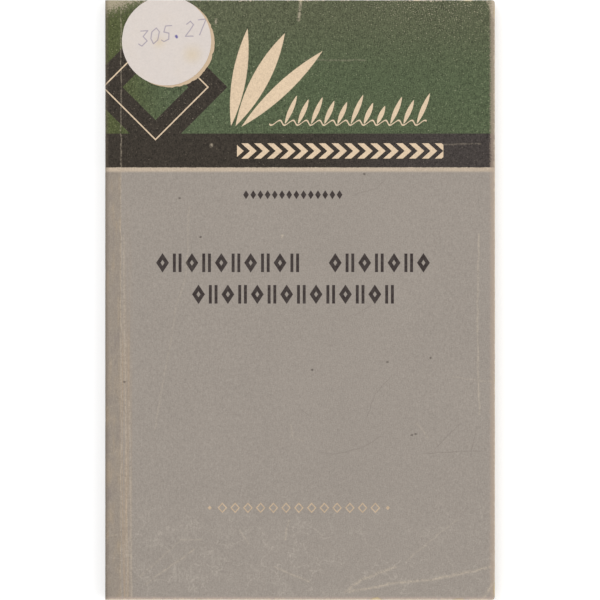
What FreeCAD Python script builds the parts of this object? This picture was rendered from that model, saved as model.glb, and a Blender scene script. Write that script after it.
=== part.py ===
import FreeCAD, Part
import os

# A side-stitched paperback book, closed and lying on its back cover, in millimetres.
#
# The origin is the middle of the closed book's footprint, on the face that it lies on.
# +X runs from the spine to the fore-edge, +Y from the tail to the head, and +Z from the
# back cover up to the front cover.
#
# Folded sections are stacked, stitched through the margin with two wire staples, and
# wrapped in a one-piece paper cover that is glued to the spine and over both margins.
# The margin stays shut for good. The covers and the leaves bend along its edge, so each
# leaf and each cover panel is modelled free from that bend line to the fore-edge.

# Trimmed format
book_width = 130.0
book_height = 200.0
corner_radius = 1.0          # thumbed corners at the fore-edge

# Paper
leaf_thickness = 0.10
cover_thickness = 0.25
section_gap = 0.05           # air between two sections
section_count = 5
folded_sheets = 4            # nested in one section; each sheet gives two leaves

# Bound margin
margin_width = 5.3           # spine to bend line
bend_clearance = 0.05        # between the bound margin and what bends along it
spine_radius = 0.60          # outside of the cover at both spine corners
side_glue = 0.05             # glue over the margins, and air over the free leaves
spine_glue = 0.15            # glue between the folds and the spine of the cover

# Score lines pressed into the outside of both covers
score_width = 0.40
score_depth = 0.06
score_spacing = 2.0          # bend line to the second score

# Wire staples
wire_diameter = 0.45
wire_clearance = 0.05        # wire to the slit that it tears through the paper
wire_bend = 0.30             # each right-angled bend cuts its corner by this much
crown_length = 13.0
clinch_length = 4.5          # from the leg to the end that is turned over
staple_from_spine = 3.2
staple_from_edge = 42.0      # head or tail to the middle of a staple

# Two round paper labels, one stuck over the other, cut off flush with the head
label_radius = 14.9
label_thickness = 0.10
label_from_spine = 20.5
label_from_head = 13.6
under_label_right = 1.2      # how far the older label shows past the newer one
under_label_down = 0.7

# Heights, from the face that the book lies on
section_thickness = 2 * folded_sheets * leaf_thickness
section_pitch = section_thickness + section_gap
block_bottom = cover_thickness + side_glue
block_top = block_bottom + section_count * section_pitch - section_gap
book_thickness = block_top + side_glue + cover_thickness

# Places across and along the book
spine_x = -book_width / 2
fore_edge_x = book_width / 2
head_y = book_height / 2
tail_y = -book_height / 2
bend_x = spine_x + margin_width
free_x = bend_x + bend_clearance
fold_x = spine_x + cover_thickness + spine_glue + section_thickness / 2   # axis of the folds

HEIGHT = FreeCAD.Vector(0, book_height, 0)
HAIR = 1e-4                  # tolerance for picking edges by their place


# Free sheets: cover panels and leaves

def rounded(slab, edge_x, vertical, radius):
    """Slab with its edges at edge_x rounded: the vertical ones, or those along the spine."""
    if vertical:
        edges = [e for e in slab.Edges if e.BoundBox.XLength < HAIR and e.BoundBox.YLength < HAIR]
    else:
        edges = [e for e in slab.Edges if e.BoundBox.XLength < HAIR and e.BoundBox.ZLength < HAIR]
    edges = [e for e in edges if abs(e.CenterOfMass.x - edge_x) < HAIR]
    return slab.makeFillet(radius, edges)


def free_sheet(bottom, thickness):
    """Sheet from the bend line to the fore-edge, with thumbed corners."""
    corner = FreeCAD.Vector(free_x, tail_y, bottom)
    slab = Part.makeBox(fore_edge_x - free_x, book_height, thickness, corner)
    return rounded(slab, fore_edge_x, True, corner_radius)


def score(x, face_z, outward):
    """Round-bottomed groove of one score line; outward is +1 on the front and -1 on the back."""
    rule_radius = (score_width ** 2 / 4 + score_depth ** 2) / (2 * score_depth)
    axis = FreeCAD.Vector(x, tail_y, face_z + outward * (rule_radius - score_depth))
    return Part.makeCylinder(rule_radius, book_height, axis, HEIGHT)


def scored(shape, face_z, outward):
    """Cover piece with the score at the bend line and the second score beside it."""
    shape = shape.cut(score(bend_x, face_z, outward))
    return shape.cut(score(bend_x + score_spacing, face_z, outward))


def section_bottom(section):
    """Underside of a section; section 1 is the one under the front cover."""
    return block_bottom + (section_count - section) * section_pitch


# Wire staples

def staple_line():
    """Centre line of a staple about its middle: turned-over end, leg, crown, leg and end."""
    crown_z = block_top - wire_diameter / 2
    clinch_z = block_bottom + wire_diameter / 2
    leg_y = crown_length / 2
    half = [
        (leg_y - clinch_length, clinch_z),
        (leg_y - wire_bend, clinch_z),
        (leg_y, clinch_z + wire_bend),
        (leg_y, crown_z - wire_bend),
        (leg_y - wire_bend, crown_z),
    ]
    places = half + [(-y, z) for y, z in reversed(half)]
    return [FreeCAD.Vector(0, y, z) for y, z in places]


def along_staple(middle_y, outline):
    """Solid of one outline, drawn along the staple and set in its place in the margin."""
    points = staple_line()
    start = outline(points[0], points[1] - points[0])
    mitred = 1
    solid = Part.makePolygon(points).makePipeShell([start], True, False, mitred)
    return solid.translated(FreeCAD.Vector(spine_x + staple_from_spine, middle_y, 0))


def round_wire(centre, along):
    """Outline of the wire."""
    return Part.Wire(Part.makeCircle(wire_diameter / 2, centre, along))


def slit(centre, along):
    """Outline of the slit that the wire tears through the paper, with its clearance."""
    reach = wire_diameter / 2 + wire_clearance
    across = FreeCAD.Vector(reach, 0, 0)
    over = across.cross(along.normalize())
    return Part.makePolygon([centre + across + over, centre - across + over,
                             centre - across - over, centre + across - over,
                             centre + across + over])


def dent(middle_y, first, length, bottom):
    """Straight dent along the face of the block, half as deep as the wire is thick."""
    reach = wire_diameter / 2 + wire_clearance
    corner = FreeCAD.Vector(spine_x + staple_from_spine - reach, middle_y + first, bottom)
    return Part.makeBox(2 * reach, length, wire_diameter / 2, corner)


def staple_bed(middle_y):
    """Room that a staple takes in the block, open above its crown and below its ends."""
    reach = wire_diameter / 2 + wire_clearance
    turned = clinch_length + reach
    ends = -crown_length / 2 - reach
    crown = dent(middle_y, ends, crown_length + 2 * reach, block_top - wire_diameter / 2)
    tail_end = dent(middle_y, ends, turned, block_bottom)
    head_end = dent(middle_y, -ends - turned, turned, block_bottom)
    return along_staple(middle_y, slit).multiFuse([crown, tail_end, head_end])


staple_places = {
    "head_staple": head_y - staple_from_edge,
    "tail_staple": tail_y + staple_from_edge,
}
staple_beds = Part.makeCompound([staple_bed(y) for y in staple_places.values()])


# Bound margin of the sections

def round_backed(section, inset):
    """Margin of one section as a slab with a round back, set in all round by the inset."""
    radius = section_thickness / 2 - inset
    middle_z = section_bottom(section) + section_thickness / 2
    below = FreeCAD.Vector(fold_x, tail_y, middle_z - radius)
    above = FreeCAD.Vector(fold_x, tail_y, middle_z + radius)
    back = FreeCAD.Vector(fold_x - radius, tail_y, middle_z)
    cut_below = FreeCAD.Vector(bend_x, tail_y, middle_z - radius)
    cut_above = FreeCAD.Vector(bend_x, tail_y, middle_z + radius)
    outline = Part.Wire([
        Part.LineSegment(cut_below, below).toShape(),
        Part.Arc(below, back, above).toShape(),
        Part.LineSegment(above, cut_above).toShape(),
        Part.LineSegment(cut_above, cut_below).toShape(),
    ])
    return Part.Face(outline).extrude(HEIGHT)


def section_folds(section):
    """Folded sheets of one section, one inside the other, pierced and dented by the staples."""
    sheets = []
    for place in range(folded_sheets):
        sheet = round_backed(section, place * leaf_thickness)
        if place < folded_sheets - 1:
            sheet = sheet.cut(round_backed(section, (place + 1) * leaf_thickness))
        sheets.append(sheet.cut(staple_beds))
    return Part.makeCompound(sheets)


# Cover round the spine

def spine_slab(inset):
    """Bound edge of the book as one slab, rounded at the spine and set in by the inset."""
    corner = FreeCAD.Vector(spine_x + inset, tail_y, inset)
    slab = Part.makeBox(margin_width - inset, book_height, book_thickness - 2 * inset, corner)
    return rounded(slab, spine_x + inset, False, spine_radius - inset)


def spine_cover():
    """Part of the cover that is glued down, from one bend line round the spine to the other."""
    wrap = spine_slab(0).cut(spine_slab(cover_thickness))
    wrap = wrap.cut(score(bend_x, book_thickness, 1))
    return wrap.cut(score(bend_x, 0, -1))


def glue():
    """Glue on the spine and over both margins, with a ridge in each valley between two folds."""
    sections = [round_backed(section, 0) for section in range(1, section_count + 1)]
    block = Part.makeBox(bend_x - fold_x, book_height, block_top - block_bottom,
                         FreeCAD.Vector(fold_x, tail_y, block_bottom))
    return spine_slab(cover_thickness).cut(Part.makeCompound(sections)).cut(block)


# Labels on the front cover

def label_disc(right, down, radius, layer):
    """One label-thick layer of a round label, cut off by the edges of the front cover."""
    bottom = book_thickness + layer * label_thickness
    centre = FreeCAD.Vector(spine_x + label_from_spine + right, head_y - label_from_head - down, bottom)
    return Part.makeCylinder(radius, label_thickness, centre).common(free_sheet(bottom, label_thickness))


def under_label():
    """Older label, on the cover itself."""
    return label_disc(under_label_right, under_label_down, label_radius, 0)


def label():
    """Newer label: it lies on the older one and steps down to the cover past its edge."""
    past_edge = label_radius + label_thickness
    over = label_disc(0, 0, label_radius, 1).common(
        label_disc(under_label_right, under_label_down, past_edge, 1))
    return label_disc(0, 0, label_radius, 0).cut(under_label()).fuse(over).removeSplitter()


# Every sub-part by its name

pieces = {
    "spine_cover": spine_cover(),
    "spine_glue": glue(),
    "front_cover": scored(free_sheet(book_thickness - cover_thickness, cover_thickness), book_thickness, 1),
    "back_cover": scored(free_sheet(0, cover_thickness), 0, -1),
    "under_label": under_label(),
    "label": label(),
}
for name, middle_y in staple_places.items():
    pieces[name] = along_staple(middle_y, round_wire)
for section in range(1, section_count + 1):
    pieces[f"section_{section}_folds"] = section_folds(section)
    for place in range(2 * folded_sheets):
        number = (section - 1) * 2 * folded_sheets + place + 1
        top = section_bottom(section) + section_thickness - place * leaf_thickness
        pieces[f"leaf_{number:02d}"] = free_sheet(top - leaf_thickness, leaf_thickness)

os.makedirs("parts", exist_ok=True)
for name, shape in pieces.items():
    shape.exportStep(f"parts/{name}.step")
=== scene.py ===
import bmesh
import bpy
import math
import random
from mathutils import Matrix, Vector, noise


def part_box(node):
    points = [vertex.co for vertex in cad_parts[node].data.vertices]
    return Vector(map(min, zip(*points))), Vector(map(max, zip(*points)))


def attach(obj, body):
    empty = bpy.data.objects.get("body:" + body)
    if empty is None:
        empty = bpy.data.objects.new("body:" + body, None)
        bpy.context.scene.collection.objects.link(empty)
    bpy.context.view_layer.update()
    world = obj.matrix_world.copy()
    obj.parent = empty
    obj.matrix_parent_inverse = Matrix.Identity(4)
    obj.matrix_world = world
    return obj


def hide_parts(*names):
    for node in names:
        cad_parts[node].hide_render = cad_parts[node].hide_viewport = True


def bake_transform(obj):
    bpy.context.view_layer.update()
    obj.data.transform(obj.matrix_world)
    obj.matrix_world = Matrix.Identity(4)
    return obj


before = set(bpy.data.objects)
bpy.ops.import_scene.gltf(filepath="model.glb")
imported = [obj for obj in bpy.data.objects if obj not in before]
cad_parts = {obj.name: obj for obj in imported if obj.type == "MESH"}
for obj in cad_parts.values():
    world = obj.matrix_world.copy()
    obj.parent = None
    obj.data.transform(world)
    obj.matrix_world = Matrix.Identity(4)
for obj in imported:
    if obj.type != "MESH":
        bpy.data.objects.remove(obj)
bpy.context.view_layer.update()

# A worn side-stitched paperback that lies closed on its back cover. Its spine is at -X, its
# fore-edge at +X, its head at +Y and its tail at -Y. Lengths are metres; MM makes them read
# as millimetres.

MM = 0.001
SPINE, TAIL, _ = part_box("spine_cover")[0]
FORE_EDGE, HEAD, COVER_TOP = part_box("front_cover")[1]
MARGIN_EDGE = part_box("spine_cover")[1].x


# ---------------------------------------------------------------------------------------------
# Camera, floor and light
# The book is seen from straight above, head up, and just fills the height of the view. The
# light is broad and even, as over a copying stand, with a little more from the head side.
# ---------------------------------------------------------------------------------------------

VIEW_HEIGHT = HEAD - TAIL + 0.1 * MM
LENS = 150.0
FLOOR_DROP = 0.6 * MM              # leaves room for a back cover that is folded right under

camera = bpy.data.objects.new("camera", bpy.data.cameras.new("camera"))
camera.data.lens = LENS
camera.location = (0, 0, COVER_TOP + VIEW_HEIGHT * LENS / camera.data.sensor_width)
camera.data.clip_start = 10 * MM
bpy.context.collection.objects.link(camera)
bpy.context.scene.camera = camera
bpy.context.scene.view_settings.view_transform = "Standard"


def lamp(name, size, power, place):
    """Square soft box aimed at the book."""
    light = bpy.data.objects.new(name, bpy.data.lights.new(name, "AREA"))
    light.data.size = size
    light.data.energy = power
    light.location = place
    light.rotation_euler = (-Vector(place)).to_track_quat("-Z", "Y").to_euler()
    bpy.context.collection.objects.link(light)


lamp("head_lamp", 0.9, 5.0, (-0.35, 0.8, 1.1))
lamp("side_lamp", 0.9, 2.4, (1.0, -0.3, 0.9))


def glow_where_seen(tree, base, extra):
    """Strength of a glow: base for every ray, and extra for camera, mirror and glass rays."""
    path = tree.nodes.new("ShaderNodeLightPath")
    seen = path.outputs["Is Camera Ray"]
    for ray in ("Is Glossy Ray", "Is Transmission Ray"):
        either = tree.nodes.new("ShaderNodeMath")
        either.operation = "MAXIMUM"
        tree.links.new(seen, either.inputs[0])
        tree.links.new(path.outputs[ray], either.inputs[1])
        seen = either.outputs[0]
    strength = tree.nodes.new("ShaderNodeMath")
    strength.operation = "MULTIPLY_ADD"
    strength.inputs[1].default_value = extra
    strength.inputs[2].default_value = base
    tree.links.new(seen, strength.inputs[0])
    return strength.outputs[0]


floor_mesh = bmesh.new()
bmesh.ops.create_grid(floor_mesh, x_segments=1, y_segments=1, size=4.0)
bmesh.ops.translate(floor_mesh, verts=floor_mesh.verts, vec=(0, 0, -FLOOR_DROP))
floor_data = bpy.data.meshes.new("floor")
floor_mesh.to_mesh(floor_data)
floor_mesh.free()
floor = bpy.data.objects.new("floor", floor_data)
bpy.context.collection.objects.link(floor)
floor_finish = bpy.data.materials.new("floor")
floor_finish.use_nodes = True
floor_tree = floor_finish.node_tree
floor_shader = floor_tree.nodes["Principled BSDF"]
floor_shader.inputs["Base Color"].default_value = (0.8, 0.8, 0.8, 1)
floor_shader.inputs["Roughness"].default_value = 0.9
floor_shader.inputs["Emission Color"].default_value = (1, 1, 1, 1)
floor_tree.links.new(glow_where_seen(floor_tree, 0.0, 0.34), floor_shader.inputs["Emission Strength"])
floor_data.materials.append(floor_finish)

world = bpy.data.worlds.new("studio")
bpy.context.scene.world = world
world.use_nodes = True
backdrop = world.node_tree.nodes["Background"]
backdrop.inputs["Color"].default_value = (1, 1, 1, 1)
world.node_tree.links.new(glow_where_seen(world.node_tree, 0.72, 0.28), backdrop.inputs["Strength"])


# ---------------------------------------------------------------------------------------------
# Book paper and the bound margins
# Five sections of folded uncoated book paper, yellowed most at its edges. Their margins are
# stitched shut and never open, so the solids of the folds show as they are.
# ---------------------------------------------------------------------------------------------

class Signal:
    """One output of a shader node; arithmetic on it adds Math or Vector Math nodes."""

    def __init__(self, finish, socket):
        self.finish = finish
        self.socket = socket
        self.kind = "ShaderNodeVectorMath" if socket.type == "VECTOR" else "ShaderNodeMath"

    def apply(self, operation, *others, output=0):
        return self.finish.node(self.kind, {"operation": operation}, (self, *others), output)

    def turned(self, operation, other):
        number = (other,) * 3 if self.socket.type == "VECTOR" and not isinstance(other, tuple) else other
        return self.finish.node(self.kind, {"operation": operation}, (number, self))

    def __add__(self, other):
        return self.apply("ADD", other)

    def __radd__(self, other):
        return self.turned("ADD", other)

    def __sub__(self, other):
        return self.apply("SUBTRACT", other)

    def __rsub__(self, other):
        return self.turned("SUBTRACT", other)

    def __mul__(self, other):
        return self.apply("MULTIPLY", other)

    def __rmul__(self, other):
        return self.turned("MULTIPLY", other)

    def __truediv__(self, other):
        return self.apply("DIVIDE", other)

    def __pow__(self, other):
        return self.apply("POWER", other)

    def __abs__(self):
        return self.apply("ABSOLUTE")

    def least(self, other):
        return self.apply("MINIMUM", other)

    def most(self, other):
        return self.apply("MAXIMUM", other)

    def rises(self, low, high):
        """0 below low and 1 above high, with a smooth rise between."""
        return self.finish.node("ShaderNodeMapRange", {"interpolation_type": "SMOOTHSTEP"},
                                (self, low, high, 0.0, 1.0))

    def between(self, low, high, soft):
        """1 from low to high, with soft ends."""
        return self.rises(low - soft, low + soft) * (1 - self.rises(high - soft, high + soft))

    def under(self, limit, soft):
        return 1 - self.rises(limit - soft, limit + soft)

    def part(self, axis):
        return self.finish.node("ShaderNodeSeparateXYZ", {}, (self,), "XYZ".index(axis))


class Finish:
    """A material while its nodes are being put together.

    A solid that never bends reads its own coordinates. Paper that bends with the joints reads
    where each of its points lies in the closed book, which piece() keeps on it as "place".
    """

    def __init__(self, name, bends=True):
        self.material = bpy.data.materials.new(name)
        self.material.use_nodes = True
        self.tree = self.material.node_tree
        self.shader = self.tree.nodes["Principled BSDF"]
        if bends:
            self.place = self.node("ShaderNodeAttribute", {"attribute_name": "place"}, (), "Vector")
        else:
            self.place = self.node("ShaderNodeTexCoord", {}, (), "Object")
        self.point = self.place * (1 / MM, 1 / MM, 1 / MM)        # object coordinates in mm
        self.across = self.point.part("X") - SPINE / MM           # mm from the spine
        self.down = HEAD / MM - self.point.part("Y")              # mm from the head
        self.up = self.point.part("Z")                            # mm from the back

    def node(self, kind, settings, values, output=0):
        """New node: its settings first, then the values or links of its sockets."""
        node = self.tree.nodes.new(kind)
        for key, value in settings.items():
            setattr(node, key, value)
        for key, value in (values.items() if isinstance(values, dict) else enumerate(values)):
            if isinstance(value, Signal):
                self.tree.links.new(value.socket, node.inputs[key])
            else:
                node.inputs[key].default_value = value
        return Signal(self, node.outputs[output])

    def noise(self, scale, detail=2.0, stretch=(1, 1, 1), shift=0.0):
        """Noise about 0, from -0.5 to 0.5; scale is cycles per millimetre."""
        place = self.point * tuple(scale * s for s in stretch) + (shift, shift, shift)
        return self.node("ShaderNodeTexNoise", {}, {"Vector": place, "Scale": 1.0, "Detail": detail}) - 0.5

    def text_noise(self, x, y, z):
        """Plain noise about 0 at a point of its own."""
        place = self.node("ShaderNodeCombineXYZ", {}, (x, y, z))
        return self.node("ShaderNodeTexNoise", {}, {"Vector": place, "Scale": 1.0, "Detail": 0.0}) - 0.5

    def cell(self, value, seed):
        """Random number from 0 to 1 that is the same for a whole cell of value."""
        place = self.node("ShaderNodeCombineXYZ", {}, (value.apply("FLOOR"), float(seed), 0.0))
        return self.node("ShaderNodeTexWhiteNoise", {}, (place,))

    def mixed(self, first, second, share):
        """Colour between two colours; share is how much of the second."""
        return self.node("ShaderNodeMix", {"data_type": "RGBA"}, {0: share, 6: first, 7: second}, 2)

    def shaded(self, colour, amount):
        """Colour made lighter or darker by a number about 1."""
        grey = self.node("ShaderNodeCombineXYZ", {}, (amount, amount, amount))
        return self.node("ShaderNodeMix", {"data_type": "RGBA", "blend_type": "MULTIPLY"},
                         {0: 1.0, 6: colour, 7: grey}, 2)

    def segment(self, start, end, wander=None):
        """Distance in mm from a straight line between two (across, down) points."""
        a = Vector((start[0] + SPINE / MM, HEAD / MM - start[1], 0))
        ab = Vector((end[0] + SPINE / MM, HEAD / MM - end[1], 0)) - a
        flat = (wander or self.point) * (1.0, 1.0, 0.0) - tuple(a)
        along = flat.apply("DOT_PRODUCT", tuple(ab), output=1) / ab.length_squared
        along = along.least(1.0).most(0.0)
        nearest = self.node("ShaderNodeVectorMath", {"operation": "SCALE"}, {0: tuple(ab), "Scale": along})
        return (flat - nearest).apply("LENGTH", output=1), along

    def marks(self, lines, wander, half_width, soft):
        """1 on any of some broken lines, each a list of (across, down) points."""
        nearest = None
        for line in lines:
            for start, end in zip(line, line[1:]):
                distance = self.segment(start, end, wander)[0]
                nearest = distance if nearest is None else nearest.least(distance)
        return nearest.under(half_width, soft)

    def done(self, colour, roughness, height=None, depth=0.0, shine=0.3):
        """Sets the colour, the roughness and the relief, whose height is in units of depth in mm."""
        for name, value in (("Base Color", colour), ("Roughness", roughness)):
            if isinstance(value, Signal):
                self.tree.links.new(value.socket, self.shader.inputs[name])
            else:
                self.shader.inputs[name].default_value = value
        if height is not None:
            relief = self.node("ShaderNodeBump", {}, {"Strength": 1.0, "Distance": depth * MM, "Height": height})
            self.tree.links.new(relief.socket, self.shader.inputs["Normal"])
        self.shader.inputs["Specular IOR Level"].default_value = shine
        return self.material


def colour(red, green, blue):
    """Colour as it looks on a screen, 0 to 255, made linear."""
    return tuple(((c / 255 + 0.055) / 1.055) ** 2.4 if c > 10 else c / 3294 for c in (red, green, blue)) + (1.0,)


PAGE_WIDTH = (FORE_EDGE - SPINE) / MM
PAGE_HEIGHT = (HEAD - TAIL) / MM
ROW_PITCH = 4.4                    # plain text rows, in mm
X_HEIGHT = 1.7
LEFT_STOP, RIGHT_STOP = 18.0, 118.0
TOP_STOP, BOTTOM_STOP = 17.6, 184.8


def book_paper(name, printed, bends=True):
    """Yellowed book paper; printed pages carry rows of plain dashes where text would be."""
    paper = Finish(name, bends)
    fibres = paper.noise(3.0, 4.0)
    cloud = paper.noise(0.05, 2.0)
    to_edge = (PAGE_WIDTH - paper.across).least(paper.down).least(PAGE_HEIGHT - paper.down)
    toned = (to_edge + 6 * cloud).under(4.0, 5.0)
    tint = paper.mixed(colour(226, 214, 186), colour(205, 184, 143), toned * 0.8)
    tint = paper.shaded(tint, 1 + 0.10 * fibres + 0.10 * cloud)
    leaf_grain = paper.noise(0.9, 1.0, (1, 1, 0.6), 7.0)
    if printed:
        row = paper.down / ROW_PITCH
        in_row = (row.apply("FRACT") - 0.5) * ROW_PITCH
        stop = RIGHT_STOP - 34 * paper.cell(row, 3).rises(0.80, 1.0)
        block = paper.across.between(LEFT_STOP, 200.0, 0.1) * (stop - paper.across).rises(0.0, 0.2)
        block = block * paper.down.between(TOP_STOP, BOTTOM_STOP, 0.1)
        line = row.apply("FLOOR") * 5.7
        leaf = paper.up * 31.7                                    # other words on every page
        words = paper.text_noise(paper.across * 0.40, line, leaf)
        letters = paper.text_noise(paper.across * 1.3, line + 2.2, leaf)
        dashes = (words + 0.12).rises(-0.03, 0.03) * (0.75 + letters)
        ink = block * abs(in_row).under(X_HEIGHT / 2, 0.12) * dashes
        tint = paper.mixed(tint, colour(96, 88, 78), ink * (0.62 + 0.5 * leaf_grain))
    return paper.done(tint, 0.85, fibres + 0.5 * leaf_grain, 0.02)


folded_paper = book_paper("folded_paper", False, bends=False)
for name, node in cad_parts.items():
    if name.endswith("_folds"):
        node.data.materials.clear()
        node.data.materials.append(folded_paper)


# ---------------------------------------------------------------------------------------------
# Glue
# Brown bone glue, dried hard and a little glossy, where it shows between the folds at the head
# and the tail.
# ---------------------------------------------------------------------------------------------

dried_glue = Finish("dried_glue", bends=False)
runs = dried_glue.noise(1.2, 3.0)
glue_tint = dried_glue.mixed(colour(150, 118, 72), colour(112, 82, 46), runs.rises(-0.3, 0.3))
glue_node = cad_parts["spine_glue"]
glue_node.data.materials.clear()
glue_node.data.materials.append(dried_glue.done(glue_tint, 0.4 + 0.2 * runs, runs, 0.05))


# ---------------------------------------------------------------------------------------------
# Staples
# Tinned steel stitching wire, dulled, with rust where the paper has held damp against it.
# ---------------------------------------------------------------------------------------------

wire = Finish("stitching_wire", bends=False)
rust = (wire.noise(1.6, 4.0) + 0.2 * wire.noise(9.0, 2.0)).rises(0.0, 0.22)
wire_tint = wire.mixed(colour(168, 166, 160), colour(104, 66, 38), rust)
wire.tree.links.new((1 - rust).socket, wire.shader.inputs["Metallic"])
wire_finish = wire.done(wire_tint, 0.35 + 0.5 * rust, rust, 0.02)
for name in ("head_staple", "tail_staple"):
    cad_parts[name].data.materials.clear()
    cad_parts[name].data.materials.append(wire_finish)


# ---------------------------------------------------------------------------------------------
# Leaves
# Forty leaves of book paper, 0.1 mm thick. Old paper springs: each leaf stands a little higher
# at the fore-edge than the one below it, and none is trimmed quite like its neighbour. Beside
# the margin each leaf bends in short steps, one for each section turned under it.
# ---------------------------------------------------------------------------------------------

SPRING = 0.42 * MM                  # how far the front cover stands off at the fore-edge
BEND_STEP = 1.5 * MM               # length of leaf that bends for one section
TRIM_SPREAD = 0.25 * MM            # how unevenly the leaves end at the fore-edge
SECTIONS = 5
LEAVES_PER_SECTION = 8

leaf_names = [f"leaf_{number:02d}" for number in range(1, SECTIONS * LEAVES_PER_SECTION + 1)]
draw = random.Random(11)
springs = []
stand = 0.0
for name in reversed(leaf_names):
    stand += draw.uniform(0.2, 1.0) ** 2
    springs.append(stand)
springs = {name: value / (stand + 0.5) for name, value in zip(reversed(leaf_names), springs)}


def lift(x, y):
    """How far the closed front cover stands off the pressed book at a place."""
    bent = MARGIN_EDGE + SECTIONS * BEND_STEP
    run = max(0.0, (x - bent) / (FORE_EDGE - bent))
    return SPRING * run ** 1.6 * (1 + 0.22 * math.sin(y / 0.031 + 1.9) * run)


def steps(start, end, count, first=0.0, last=0.0, fine=0):
    """Places from start to end: evenly spread, with fine ones over the first and last stretch."""
    places = [start + first * i / fine for i in range(fine)] if first else []
    places += [start + first + (end - last - start - first) * i / count for i in range(count)]
    places += [end - last + last * i / fine for i in range(fine)] if last else []
    return places + [end]


def sheet(xs, ys, thickness, surface, rounding=0.0):
    """Flat slab on a grid of places, with rounded corners at +X, then laid on a surface.

    Each point goes to surface(x, y, depth), where depth is how far it is under the upper face.
    Faces above, below and on the cut edges get the finishes 0, 1 and 2.
    """
    mesh = bmesh.new()
    bmesh.ops.create_grid(mesh, x_segments=len(xs) - 1, y_segments=len(ys) - 1, size=1)
    corner_x = xs[-1] - rounding
    corner_y = ys[-1] - rounding
    for vert in mesh.verts:
        x = xs[round((vert.co.x + 1) / 2 * (len(xs) - 1))]
        y = ys[round((vert.co.y + 1) / 2 * (len(ys) - 1))]
        over = Vector((x - corner_x, abs(y) - corner_y))
        if rounding and over.x > 0 and over.y > 0:
            over *= max(over) / over.length
            x, y = corner_x + over.x, math.copysign(corner_y + over.y, y)
        vert.co = (x, y, 0)
    return slab(mesh, thickness, surface)


def slab(mesh, thickness, surface):
    """Flat faces given a thickness downwards, then each point moved to surface(x, y, depth)."""
    made = bmesh.ops.extrude_face_region(mesh, geom=mesh.faces[:])["geom"]
    lower = [part for part in made if isinstance(part, bmesh.types.BMVert)]
    bmesh.ops.translate(mesh, verts=lower, vec=(0, 0, -thickness))
    bmesh.ops.recalc_face_normals(mesh, faces=mesh.faces)
    for face in mesh.faces:
        face.smooth = True
        face.material_index = 0 if face.normal.z > 0.5 else 1 if face.normal.z < -0.5 else 2
    for vert in mesh.verts:
        vert.co = surface(vert.co.x, vert.co.y, -vert.co.z)
    mesh.normal_update()
    return mesh


def joined(meshes):
    """One bmesh of several."""
    whole = bmesh.new()
    for part in meshes:
        data = bpy.data.meshes.new("part")
        part.to_mesh(data)
        part.free()
        whole.from_mesh(data)
        bpy.data.meshes.remove(data)
    return whole


def piece(name, mesh, finishes, sprung=0.0):
    """Object of a mesh, at the origin, with its finishes.

    Its points keep their place in the closed book, less the share of the cover's lift they have.
    """
    data = bpy.data.meshes.new(name)
    mesh.to_mesh(data)
    mesh.free()
    places = data.attributes.new("place", "FLOAT_VECTOR", "POINT")
    for vert, place in zip(data.vertices, places.data):
        place.vector = vert.co - Vector((0, 0, sprung * lift(vert.co.x, vert.co.y)))
    data.set_sharp_from_angle(angle=math.radians(40))
    for finish in finishes:
        data.materials.append(finish)
    made = bpy.data.objects.new(name, data)
    bpy.context.collection.objects.link(made)
    return made


def level(height, share=0.0):
    """Surface at a height, raised by a share of the front cover's lift."""
    return lambda x, y, depth: (x, y, height + share * lift(x, y) - depth)


page_paper = book_paper("page_paper", True)
margin_paper = book_paper("margin_paper", False)
for number in range(1, SECTIONS + 1):
    bends = SECTIONS + 1 - number
    last_bend = MARGIN_EDGE + (bends - 1) * BEND_STEP
    mine = leaf_names[(number - 1) * LEAVES_PER_SECTION:number * LEAVES_PER_SECTION]
    for bend in range(1, bends):
        start = MARGIN_EDGE + (bend - 1) * BEND_STEP
        strips = []
        for name in mine:
            low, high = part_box(name)
            strips.append(sheet(steps(start, start + BEND_STEP, 6), [TAIL, HEAD], high.z - low.z, level(high.z)))
        gutter = piece(f"section_{number}_gutter_{bend}", joined(strips), [margin_paper] * 3)
        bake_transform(gutter)
    for name in mine:
        low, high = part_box(name)
        edge = FORE_EDGE - draw.uniform(0, TRIM_SPREAD)
        short = draw.uniform(0, TRIM_SPREAD / 2)
        xs = steps(last_bend, edge, 22, BEND_STEP, 1.2 * MM, 5)
        ys = steps(TAIL + short, HEAD - short, 22, 1.2 * MM, 1.2 * MM, 3)
        mesh = sheet(xs, ys, high.z - low.z, level(high.z, springs[name]), 1 * MM)
        leaf = piece(f"paper_{name}", mesh, [page_paper, page_paper, margin_paper], springs[name])
        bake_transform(leaf)
        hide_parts(name)


# ---------------------------------------------------------------------------------------------
# Cover print
# One sheet of soft cover paper, printed on the outside in dull green, black and warm grey. The
# places of words hold plain ornament: a lozenge, brush strokes, chevrons and lozenge rows.
# Handling has creased it, rubbed the print off its edges and scratched it.
# ---------------------------------------------------------------------------------------------

GREEN_END, BLACK_END, CREAM_END = 44.5, 55.8, 57.2     # bands, mm down from the head
GREY = colour(159, 150, 141)
GREEN = colour(84, 95, 69)
BLACK = colour(58, 52, 45)
CREAM = colour(226, 202, 172)
INK = colour(52, 44, 43)
BARE_PAPER = colour(214, 198, 175)

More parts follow.
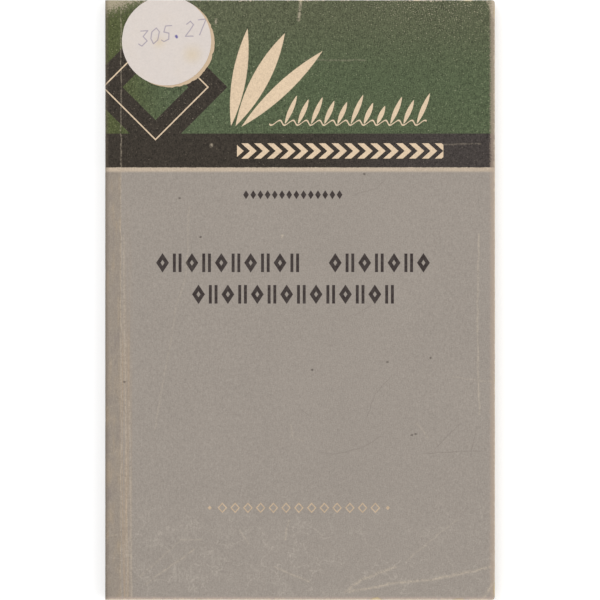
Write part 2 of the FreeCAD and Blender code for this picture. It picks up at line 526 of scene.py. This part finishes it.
HINGE_CREASE = [[(5.3, 0), (5.3, 200)]]
CREASES = [
    [(6.1, 78), (7.0, 150), (7.4, 200)],
    [(8.2, 134), (8.8, 200)],
    [(124.7, 78), (124.2, 97), (124.4, 127), (124.9, 138)],
    [(13.6, 194.7), (29.7, 183.3)],
    [(59.9, 180), (61.5, 173.3)],
    [(56.5, 189), (68.2, 194)],
]
CORNER_CREASES = [
    [(81.6, 197.3), (96.7, 194.3), (109.1, 193.3), (128.5, 189)],
    [(80.0, 197.3), (85.7, 193.3), (96.7, 189)],
    [(126.4, 199.0), (129.2, 194.6)],
]
FAINT_CREASES = [
    [(28.0, 69), (27.0, 92.3), (23.7, 101.7), (22.0, 113.3), (18.7, 130.7), (16.6, 143.3)],
    [(100.7, 186.7), (115.1, 175), (117.5, 173.3)],
    [(9.6, 194), (25.4, 180), (32.1, 180)],
    [(44.8, 176.7), (48.1, 181.7)],
    [(115.8, 125.7), (128.5, 127.3)],
    [(66.6, 20), (86.7, 20.1)],
    [(112.5, 48.1), (125.2, 47.9)],
    [(0.6, 135.9), (2.4, 135.4)],
    [(0.6, 151.8), (3.6, 150.4)],
    [(0.6, 179.0), (3.9, 178.1)],
    [(62.0, 142.0), (62.6, 146.0), (66.0, 147.0)],
    [(104.0, 141.0), (107.5, 146.0)],
]
SCRATCHES = [
    [(82, 65.3), (90.7, 62.7), (93.4, 60)],
    [(87, 140), (90.2, 131), (95.7, 125)],
    [(70.6, 150.6), (77, 151.4), (85, 149.6), (92, 145.5)],
    [(106.1, 151.2), (125.2, 150.3)],
    [(121.8, 152.3), (123.9, 142)],
    [(110.0, 149.6), (118.5, 141)],
    [(65.2, 136.3), (68.0, 138.6)],
    [(83.3, 105), (88.7, 101.7)],
]
DARK_SPECKS = [(102.1, 145), (103.4, 144.7), (86.3, 58), (24.7, 66), (31.7, 79), (94, 120.7),
               (68.9, 123.3), (108.4, 119.3), (6.3, 127.3)]
RUBBED = [
    [(65.2, 0), (64.6, 6.5)],
    [(37.1, 6.6), (37.0, 7.4)],
    [(35.4, 48.2), (35.3, 48.6)],
    [(59.2, 78.5), (59.2, 78.9)],
    [(127.6, 0.4), (129.6, 5.6)],
    [(129.9, 2.0), (129.9, 5.0)],
]


def row_of(print_, start, end, middle, pitch, shape):
    """Row of one ornament: shape(local, off, cell) is drawn in each cell from start to end."""
    cells = (print_.across - start) / pitch
    local = (cells.apply("FRACT") - 0.5) * pitch
    return print_.across.between(start, end, 0.02) * shape(local, print_.down - middle, cells)


def lozenge(x, y, wide, high):
    """Less than 1 inside a lozenge of that half width and half height."""
    return abs(x) / wide + abs(y) / high


def tufts(print_, strokes):
    """Tapering brush strokes, each from one point to another with a half width at its middle."""
    mask = None
    for start, end, half_width in strokes:
        distance, along = print_.segment(start, end)
        swell = along * (1 - along) * 4 * half_width
        stroke = (swell - distance).rises(-0.10, 0.10)
        mask = stroke if mask is None else mask.most(stroke)
    return mask


def ornaments(print_):
    """Cream, dark and pale ornament masks, and the black and green parts of the lozenge."""
    diamond = lozenge(print_.across - 16.8, print_.down - 29.0, 1.0, 1.0)
    frame_line = abs(diamond - 17.5).under(0.30, 0.08)
    tuft = tufts(print_, [((42.0, 42.0), (47.5, 9.5), 2.3), ((43.5, 42.0), (60.0, 11.0), 2.8),
                          ((45.5, 42.2), (72.5, 17.0), 2.2)])
    slanted = print_.across + (print_.down - 36.0) * 0.42
    cells = (slanted - 60.0) / 4.4
    local = (cells.apply("FRACT") - 0.5) * 4.4
    rise = print_.cell(cells, 5) * 2.6 + 3.0
    from_foot = (41.5 - print_.down) / rise
    belly = (from_foot * (2.0 - from_foot) * 0.85).most(0.0)
    strokes = (belly - abs(local)).rises(-0.06, 0.08) * belly.rises(0.0, 0.2) * slanted.between(60.0, 108.4, 0.1)
    loops = abs(print_.down - 40.9 + 0.8 * (cells * (2 * math.pi)).apply("COSINE")).under(0.24, 0.08)
    loops = loops * slanted.between(57.0, 109.0, 0.1)
    chevrons = row_of(print_, 44.0, 112.8, 50.3, 4.3, lambda x, y, cell: 1.0 * (
        ((cell + abs(y) * 0.26).apply("FRACT") - 0.5).under(0.02, 0.02) * abs(y).under(2.55, 0.08)))
    cream = tuft.most(strokes).most(loops).most(chevrons).most(frame_line)

    def title(x, y, cell):
        odd = ((cell / 2).apply("FRACT")).rises(0.49, 0.51)
        drop = lozenge(x, y, 2.15, 3.25)
        ring = drop.under(1.0, 0.04) * (1 - drop.under(0.30, 0.04))
        bars = abs(x).between(0.45, 1.45, 0.06) * abs(y).under(3.1, 0.06)
        return ring * (1 - odd) + bars * odd

    dark = row_of(print_, 16.7, 65.7, 87.6, 4.9, title)
    dark = dark.most(row_of(print_, 74.3, 108.6, 87.6, 4.9, title))
    dark = dark.most(row_of(print_, 28.7, 97.3, 98.1, 4.9, title))
    dark = dark.most(row_of(print_, 45.8, 79.4, 64.9, 2.4,
                            lambda x, y, cell: lozenge(x, y, 0.95, 1.5).under(1.0, 0.08)))
    pale = row_of(print_, 37.0, 92.2, 169.3, 4.25,
                  lambda x, y, cell: abs(lozenge(x, y, 1.6, 1.75) - 0.85).under(0.16, 0.05))
    for end in (34.9, 94.3):
        pale = pale.most(lozenge(print_.across - end, print_.down - 169.3, 0.7, 0.7).under(1.0, 0.1))
    return cream, dark, pale, diamond


def cover_print(name, front):
    """Printed outside of the cover; only the front carries bands and ornament."""
    print_ = Finish(name)
    across, down = print_.across, print_.down
    fibres = print_.noise(2.2, 5.0)
    grain = print_.noise(1.1, 2.0, shift=4.0)
    upright = print_.noise(1.0, 1.0, (2.7, 0.7, 1.0), 17.0)
    speckle = print_.noise(3.0, 1.0, shift=41.0)
    cloud = print_.noise(0.045, 3.0, shift=2.0)
    wander = print_.point + print_.node("ShaderNodeCombineXYZ", {}, (
        print_.noise(0.35, 3.0, shift=11.0) * 1.1, print_.noise(0.35, 3.0, shift=23.0) * 1.1, 0.0))
    broken = (grain + fibres).rises(-0.40, 0.25)
    mottle = 0.22 * fibres + 0.20 * grain + 0.24 * upright + 0.42 * speckle

    margin = across.under(5.3, 0.2)
    tint = print_.mixed(GREY, colour(155, 144, 132), margin)
    folded = across.between(5.2, 8.6, 1.0) * down.rises(60.0, 150.0)
    streaks = print_.noise(1.0, 2.0, (1.8, 0.03, 1.0), 29.0)
    tint = print_.mixed(tint, colour(172, 152, 130), folded * (0.45 + 2.2 * streaks).most(0.0).least(1.0))
    blotches = print_.noise(0.35, 4.0, (1, 0.4, 1), 71.0)
    tint = print_.mixed(tint, colour(172, 155, 134), margin * (blotches + 0.4 * streaks).rises(-0.04, 0.30) * 0.75)
    tint = print_.mixed(tint, colour(138, 128, 122), margin * (blotches - 0.4 * streaks).under(-0.14, 0.12) * 0.5)
    inked = across * 0.0
    if front:
        cream, dark, pale, diamond = ornaments(print_)
        printed = print_.up.rises(0.25, 0.35)                     # bands stop at the back of the spine
        band_edge = down + 0.25 * grain
        inked = down.under(BLACK_END, 0.2) * printed
        green_tint = print_.mixed(colour(91, 95, 72), GREEN, down.rises(0.0, 30.0))
        green_tint = print_.mixed(green_tint, colour(82, 88, 54), across.under(12.0, 12.0))
        inside = diamond.under(24.0, 0.08) * (1 - diamond.under(11.0, 0.08)) * printed
        upper = print_.mixed(green_tint, BLACK, inside)
        black_tint = print_.mixed(BLACK, colour(67, 61, 58), across.rises(60.0, 120.0))
        tint = print_.mixed(colour(197, 180, 160), tint, band_edge.rises(CREAM_END - 0.5, CREAM_END + 0.5))
        tint = print_.mixed(black_tint, tint, band_edge.rises(BLACK_END - 0.12, BLACK_END + 0.12).most(1 - printed))
        tint = print_.mixed(upper, tint, band_edge.rises(GREEN_END - 0.12, GREEN_END + 0.12).most(1 - printed))
        tint = print_.mixed(tint, CREAM, cream)
        tint = print_.mixed(tint, INK, dark * (0.94 + 0.3 * grain))
        tint = print_.mixed(tint, colour(205, 180, 150), pale * (0.85 + 0.5 * grain))
        mottle = mottle * (1 + 3.0 * inked * (1 - cream))
    tint = print_.shaded(tint, 1 + mottle + 0.10 * cloud)

    fore = PAGE_WIDTH - across
    tail = PAGE_HEIGHT - down
    ragged = 1.2 * fibres + 0.8 * grain
    patches = print_.noise(0.16, 2.0, shift=51.0)
    wear = (fore + ragged).under(0.25, 0.4).most((tail + ragged).under(0.35, 0.4))
    wear = wear.most((down + 2.4 * ragged - 2.4 * patches).under(-0.15, 0.35) * 0.85)
    wear = wear.most(print_.marks(HINGE_CREASE, wander, 0.08, 0.32) * broken * (0.75 + 0.8 * patches))
    if front:
        near_corner = ((across - 9.0) * 0.5).least(7.0) + down * 1.4
        wear = wear.most((near_corner + 14 * speckle + 5 * ragged).under(1.0, 2.5) * 0.7)
        wear = wear.most(print_.marks(CREASES, wander, 0.10, 0.45) * broken * 0.68)
        wear = wear.most(print_.marks(CORNER_CREASES, wander, 0.18, 0.70) * broken * 0.85)
        wear = wear.most(print_.marks(FAINT_CREASES, wander, 0.08, 0.46) * broken * 0.40)
        wear = wear.most(print_.marks(RUBBED, wander, 0.30, 0.55) * (fibres + grain).rises(-0.25, 0.12) * 0.8)
        busy = across.between(86.0, 128.0, 14.0) * down.under(10.0, 14.0)
        thumbed = fore * 1.3 + (down - 1.0) * 0.45 + 2.5 * ragged + 6 * speckle
        wear = wear.most(thumbed.under(1.9, 1.1) * 0.75 * inked)
        flecks = (speckle + 0.5 * fibres + 0.12 * busy - 0.05 * down.rises(GREEN_END - 0.2, GREEN_END))
        wear = wear.most(flecks.rises(0.22, 0.32) * 0.55 * inked)
    tint = print_.mixed(tint, colour(184, 164, 147), (fore + 2 * fibres).under(1.5, 0.6) * 0.60)
    tint = print_.mixed(tint, colour(188, 168, 158), (tail + fibres).under(0.9, 0.5) * 0.65)
    handled = (patches + 0.5 * fibres + 0.5 * streaks + 0.3 * grain) * down.rises(150.0, 190.0)
    tint = print_.mixed(tint, colour(188, 179, 167), handled.rises(0.02, 0.40) * 0.32)
    wrinkle = abs(print_.noise(0.085, 4.0, shift=61.0)).under(0.004, 0.010) * broken
    wrinkle = wrinkle * (down - 3 * grain).rises(156.0, 184.0)
    tint = print_.mixed(tint, colour(200, 189, 176), wrinkle * 0.50)
    tint = print_.mixed(tint, BARE_PAPER, wear * 0.8)
    # Darker along the spine edge: painted shade of the rounded spine, with some dirt.
    dirt_and_spine_shade = (across - 0.6 * grain).under(0.8, 0.9)
    tint = print_.mixed(tint, colour(106, 94, 82), dirt_and_spine_shade * 0.55)
    crease = print_.marks(HINGE_CREASE, wander, 0.1, 0.35)
    height = 0.5 * fibres + 0.3 * grain - 1.5 * crease
    if front:
        scratch = print_.marks(SCRATCHES, wander, 0.03, 0.26) * (fibres + grain).rises(-0.35, 0.2)
        speck = None
        for spot in DARK_SPECKS:
            distance = print_.segment(spot, (spot[0] + 0.3, spot[1]))[0]
            speck = distance if speck is None else speck.least(distance)
        tint = print_.mixed(tint, colour(92, 84, 78), scratch * 0.6)
        tint = print_.mixed(tint, colour(70, 62, 56), (speck + 0.5 * fibres).under(0.22, 0.3) * 0.85)
        height = height - 0.8 * scratch - 1.2 * print_.marks(CREASES + CORNER_CREASES, wander, 0.1, 0.4)
    return print_.done(tint, 0.60 + 0.2 * fibres + 0.12 * wear, height, 0.05, 0.12)


def cover_inside(name):
    """Bare side and cut edges of the cover paper."""
    bare = Finish(name)
    fibres = bare.noise(2.2, 5.0)
    cloud = bare.noise(0.04, 3.0, shift=5.0)
    edge = (PAGE_WIDTH - bare.across).least(bare.down).least(PAGE_HEIGHT - bare.down)
    tint = bare.mixed(colour(214, 198, 168), colour(188, 164, 126), (edge + 7 * cloud).under(5.0, 6.0) * 0.8)
    return bare.done(bare.shaded(tint, 1 + 0.10 * fibres + 0.08 * cloud), 0.85, fibres, 0.03)


front_print = cover_print("front_print", True)
back_print = cover_print("back_print", False)
bare_cover = cover_inside("bare_cover")


# ---------------------------------------------------------------------------------------------
# Cover round the spine
# The glued part of the cover: a strip on each margin and the spine between them, folded over
# two rounded corners. Its ends at the head and the tail are rubbed, and its corners and spine a little uneven.
# ---------------------------------------------------------------------------------------------

COVER_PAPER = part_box("back_cover")[1].z
SPINE_ROUND = 0.6 * MM
SCORE_DEPTH = 0.06 * MM
SCORE_SIGMA = 0.12 * MM            # half width of the dent that the score leaves
SECOND_SCORE = MARGIN_EDGE + 2.0 * MM

strip_length = MARGIN_EDGE - SPINE - SPINE_ROUND
arc_length = SPINE_ROUND * math.pi / 2
wall_length = COVER_TOP - 2 * SPINE_ROUND
wrap_length = 2 * strip_length + 2 * arc_length + wall_length


def round_spine(run, y, depth):
    """Point on the wrapped cover: run is the way from the front bend line round to the back one."""
    back = run > wrap_length / 2
    if back:
        run = wrap_length - run
    rubbed = 0.05 * MM * noise.noise((y / (6 * MM), run / (2 * MM), 3.0))
    if run < strip_length:
        x = MARGIN_EDGE - run
        z = COVER_TOP - depth - dent(x)
    elif run < strip_length + arc_length:
        turn = (run - strip_length) / SPINE_ROUND
        radius = SPINE_ROUND - depth
        x = SPINE + SPINE_ROUND - radius * math.sin(turn) + abs(rubbed)
        z = COVER_TOP - SPINE_ROUND + radius * math.cos(turn)
    else:
        x = SPINE + depth + abs(rubbed)
        z = COVER_TOP - SPINE_ROUND - (run - strip_length - arc_length)
    return (x, y, COVER_TOP - z if back else z)


def dent(x):
    """Depth of the score lines at a place across the cover."""
    return SCORE_DEPTH * sum(math.exp(-((x - line) / SCORE_SIGMA) ** 2) for line in (MARGIN_EDGE, SECOND_SCORE))


runs = (steps(0, strip_length, 14) + steps(strip_length, strip_length + arc_length, 6)[1:]
        + steps(strip_length + arc_length, wrap_length / 2, 6)[1:])
runs += [wrap_length - run for run in reversed(runs[:-1])]
wrap = piece("worn_spine", sheet(runs, steps(TAIL, HEAD, 120), COVER_PAPER, round_spine),
             [front_print, bare_cover, bare_cover])
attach(wrap, "root")
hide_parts("spine_cover")


# ---------------------------------------------------------------------------------------------
# Front cover
# Free panel of the cover. It bends along the score in six short steps, one for each section
# that may turn under it and one of its own. Its corners are thumbed, its edges chipped, and
# its lower corner has been folded up once and pressed flat again.
# ---------------------------------------------------------------------------------------------

HINGE_STEP = 0.05 * MM
CHIPS = [                          # (place along the edge, half width, depth), mm
    ("tail", 90.5, 2.0, 0.9), ("tail", 31.0, 1.2, 0.35), ("tail", 118.0, 2.6, 0.5),
    ("head", 65.2, 1.0, 0.35), ("head", 104.0, 1.6, 0.3), ("head", 121.0, 2.2, 0.35),
    ("fore", 4.0, 3.0, 0.4), ("fore", 126.5, 1.5, 0.3), ("fore", 196.5, 3.0, 0.5),
]


def chipped(edge, place):
    """How far an edge is worn back at a place along it, in metres."""
    depth = 0.10 * abs(noise.noise((place / 2.3, 1.0 + len(edge), 0)))
    depth += 0.10 * abs(noise.noise((place / 0.7, 5.0 + len(edge), 0)))
    for side, middle, half_width, deep in CHIPS:
        if side == edge:
            depth += deep * max(0.0, 1 - ((place - middle) / half_width) ** 2)
    return depth * MM


def worn_outline(x, y):
    """Place of a cover point after its edges are worn back; the wear dies out 3 mm inside."""
    across, down = (x - SPINE) / MM, (HEAD - y) / MM
    fade = lambda distance: max(0.0, 1 - distance / (3 * MM))
    return (x - fade(FORE_EDGE - x) * chipped("fore", down),
            y - fade(HEAD - y) * chipped("head", across) + fade(y - TAIL) * chipped("tail", across))


def front_surface(x, y, depth):
    """Outside of the front cover: sprung, scored and creased."""
    down = (HEAD - y) / MM
    across = (x - SPINE) / MM
    fold = max(0.0, (down - 197.5) / 12 + (across - 81) / 70)     # past the lower corner's old fold
    near = max(0.0, 1 - ((down - 108) / 34) ** 2)                 # beside the upright crease
    curl = 0.12 * MM * near * max(0.0, across - 124.4) / 5.6
    corner = 0.2 * MM * min(1.0, fold) ** 2 + curl
    x_worn, y_worn = worn_outline(x, y)
    return (x_worn, y_worn, COVER_TOP + lift(x, y) - dent(x) + corner - depth)


hinge_start = MARGIN_EDGE
for bend in range(1, SECTIONS + 1):
    start = MARGIN_EDGE + (bend - 1) * HINGE_STEP
    mesh = sheet(steps(start, start + HINGE_STEP, 4), steps(TAIL, HEAD, 110), COVER_PAPER, front_surface)
    strip = piece(f"front_hinge_{bend}", mesh, [front_print, bare_cover, bare_cover])
    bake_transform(strip)
last_bend = MARGIN_EDGE + SECTIONS * HINGE_STEP
xs = steps(last_bend, last_bend + HINGE_STEP, 5)[:-1]
xs += steps(last_bend + HINGE_STEP, SECOND_SCORE + 1.5 * MM, 30)[:-1]
xs += steps(SECOND_SCORE + 1.5 * MM, FORE_EDGE, 84, 0, 2.4 * MM, 8)
ys = steps(TAIL, HEAD, 130, 2.4 * MM, 2.4 * MM, 8)
panel = piece("front_panel", sheet(xs, ys, COVER_PAPER, front_surface, 1 * MM),
              [front_print, bare_cover, bare_cover])
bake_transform(panel)
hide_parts("front_cover")


# ---------------------------------------------------------------------------------------------
# Back cover
# Free panel at the back, plain grey outside. It lies flat under the weight of the book.
# ---------------------------------------------------------------------------------------------

def back_surface(x, y, depth):
    """Inside of the back cover; its outside is scored like the front's."""
    x_worn, y_worn = worn_outline(x, y)
    score = dent(x) if depth > 0 else 0.0
    return (x_worn, y_worn, COVER_PAPER - depth + score)


xs = steps(MARGIN_EDGE, MARGIN_EDGE + 6 * HINGE_STEP, 8)[:-1]
xs += steps(MARGIN_EDGE + 6 * HINGE_STEP, FORE_EDGE, 84, 3 * MM, 2.4 * MM, 20)
back = piece("back_panel", sheet(xs, ys, COVER_PAPER, back_surface, 1 * MM),
             [bare_cover, back_print, bare_cover])
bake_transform(back)
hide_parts("back_cover")


# ---------------------------------------------------------------------------------------------
# Labels
# Two round paper labels on the front cover, the newer one stuck nearly over the older, browned
# one, both cut off flush with the head. The newer one bears a plain pen number.
# ---------------------------------------------------------------------------------------------

def label_box(name):
    low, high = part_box(name)
    radius = (high.x - low.x) / 2
    return low, high, radius, Vector(((low.x + high.x) / 2, low.y + radius))


def disc(name, rings, edge_noise):
    """Round sheet as rings of faces about its middle, cut off at the head."""
    low, high, radius, centre = label_box(name)
    mesh = bmesh.new()
    line = [mesh.verts.new((centre.x + radius * ring / rings, centre.y, 0)) for ring in range(rings + 1)]
    spokes = [mesh.edges.new(pair) for pair in zip(line, line[1:])]
    bmesh.ops.spin(mesh, geom=line + spokes, cent=(*centre, 0), axis=(0, 0, 1), angle=math.tau,
                   steps=120, use_merge=True)
    bmesh.ops.remove_doubles(mesh, verts=mesh.verts, dist=1e-6)
    for vert in mesh.verts:
        away = vert.co.xy - centre
        if away.length > radius * 0.97:
            worn = edge_noise * abs(noise.noise((vert.co.x / (1.5 * MM), vert.co.y / (1.5 * MM), 2)))
            vert.co.xy -= away.normalized() * worn
    bmesh.ops.bisect_plane(mesh, geom=mesh.verts[:] + mesh.edges[:] + mesh.faces[:], dist=1e-7,
                           plane_co=(0, HEAD - 0.05 * MM, 0), plane_no=(0, 1, 0), clear_outer=True)
    bmesh.ops.recalc_face_normals(mesh, faces=mesh.faces)
    return mesh


def label_paper(name, plain, stained, stains, number):
    """Matt label paper with round stains and, on the newer label, a number in thin pen."""
    paper = Finish(name)
    fibres = paper.noise(1.6, 4.0)
    cloud = paper.noise(0.12, 3.0, shift=8.0)
    stain = (0.8 * cloud).most(0.0)
    for spot, size in stains:
        away = paper.segment(spot, (spot[0] + 0.4, spot[1]))[0] + 2.5 * cloud
        stain = stain.most(away.under(size * 0.7, size))
    tint = paper.mixed(plain, stained, stain * 0.5)
    height = fibres
    if number:
        wander = paper.point + paper.noise(0.5, 2.0, shift=3.0) * 0.3
        ink = paper.marks(number, wander, 0.12, 0.20) * (fibres + 0.9).rises(0.2, 0.8)
        tint = paper.mixed(tint, colour(116, 104, 140), ink * 0.80)
        blob = paper.segment(NUMBER_POINT, (NUMBER_POINT[0] + 0.2, NUMBER_POINT[1] + 0.3), wander)[0]
        tint = paper.mixed(tint, colour(78, 70, 148), blob.under(0.42, 0.25) * 0.9)
    smudge = paper.noise(0.9, 3.0, shift=14.0)
    return paper.done(paper.shaded(tint, 1 + 0.14 * fibres + 0.10 * smudge + 0.06 * cloud), 0.75, height, 0.02)


DIGITS = {                         # pen strokes in a cell 1 wide and 1.6 high, from its foot
    "0": [[(0.5, 1.6), (0.1, 1.2), (0.05, 0.5), (0.4, 0.0), (0.8, 0.4), (0.85, 1.2), (0.5, 1.6)]],
    "2": [[(0.1, 1.3), (0.45, 1.6), (0.8, 1.25), (0.5, 0.7), (0.1, 0.05), (0.9, 0.1)]],
    "3": [[(0.1, 1.5), (0.8, 1.55), (0.4, 0.95), (0.85, 0.5), (0.4, 0.0), (0.05, 0.2)]],
    "5": [[(0.85, 1.6), (0.25, 1.55), (0.15, 0.95), (0.7, 0.85), (0.75, 0.25), (0.3, 0.0), (0.05, 0.15)]],
    "7": [[(0.1, 1.5), (0.85, 1.6), (0.4, 0.0)]],
    ".": [],
}
NUMBER = "305.27"
DIGIT_SIZE, DIGIT_PITCH, DIGIT_RISE = 3.3, 3.85, 0.75  # mm
NUMBER_PLACE = (11.0, 15.3)                            # foot of the first digit, mm
NUMBER_POINT = (NUMBER_PLACE[0] + 3.3 * DIGIT_PITCH, NUMBER_PLACE[1] - 3 * DIGIT_RISE - 1.0)


def pen_number():
    """Pen strokes of the number as (across, down) points, on a line that climbs to the right."""
    lines = []
    for place, digit in enumerate(NUMBER):
        left = NUMBER_PLACE[0] + place * DIGIT_PITCH
        foot = NUMBER_PLACE[1] - place * DIGIT_RISE
        for stroke in DIGITS[digit]:
            lines.append([(left + DIGIT_SIZE * (x + 0.12 * y), foot - DIGIT_SIZE * y) for x, y in stroke])
    return lines


new_label = label_paper("new_label_paper", colour(221, 211, 204), colour(214, 192, 150),
                        [((18.0, 14.2), 2.0), ((28.7, 18.3), 3.0)], pen_number())
old_label = label_paper("old_label_paper", colour(206, 182, 152), colour(186, 150, 112), [], None)

low, high, radius, old_centre = label_box("under_label")
OLD_TOP = high.z
old_radius = radius
label_thickness = high.z - low.z


def on_cover(x, y):
    return Vector(front_surface(x, y, 0)).z


old = piece("old_label", slab(disc("under_label", 12, 0.5 * MM), label_thickness,
                              lambda x, y, depth: (x, y, on_cover(x, y) + label_thickness - depth)),
            [old_label] * 3)
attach(old, "front_cover")
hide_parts("under_label")


def draped(x, y, depth):
    """Newer label: one thickness higher over the older one, eased down past its edge."""
    past = ((Vector((x, y)) - old_centre).length - old_radius) / (0.4 * MM)
    share = min(1.0, max(0.0, 1 - past))
    ease = share * share * (3 - 2 * share)
    return (x, y, on_cover(x, y) + label_thickness * (1.02 + ease) - depth)


new = piece("new_label", slab(disc("label", 24, 0.12 * MM), label_thickness, draped), [new_label] * 3)
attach(new, "front_cover")
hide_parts("label")
